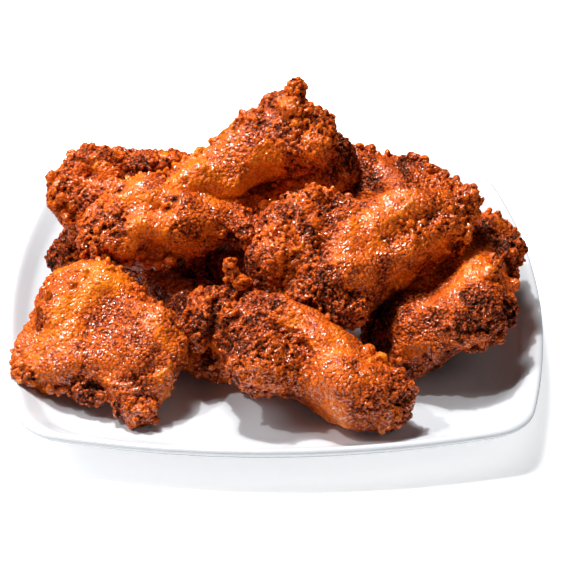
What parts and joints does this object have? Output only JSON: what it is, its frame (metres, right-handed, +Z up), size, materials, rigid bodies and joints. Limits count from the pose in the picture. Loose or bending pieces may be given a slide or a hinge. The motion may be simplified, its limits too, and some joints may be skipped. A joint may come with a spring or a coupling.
{
  "type": "chicken wings serving",
  "caption": "A heap of breaded, deep-fried chicken wings served on a square coupe plate of glazed white porcelain.",
  "frame": {"origin": "under the middle of the plate's foot, on the plane the plate stands on", "axes": "+Z up; +X to the right and +Y away from someone looking at the front of the serving"},
  "size_m": [0.2156, 0.2156, 0.0938],
  "materials": {
    "glaze": "smooth glossy white porcelain glaze",
    "breading": "craggy fried crust, golden orange to dark brown, shiny with oil"
  },
  "bodies": {
    "root": {"plate": "glaze", "wing_flat_front_left": "breading", "wing_right": "breading", "wing_centre_front": "breading", "wing_left_under": "breading", "wing_centre_back": "breading", "wing_front": "breading", "wing_middle_right": "breading", "wing_middle_left": "breading", "wing_back_left": "breading", "wing_back_right": "breading", "wing_back_top": "breading", "wing_top": "breading"}
  },
  "joints": []
}
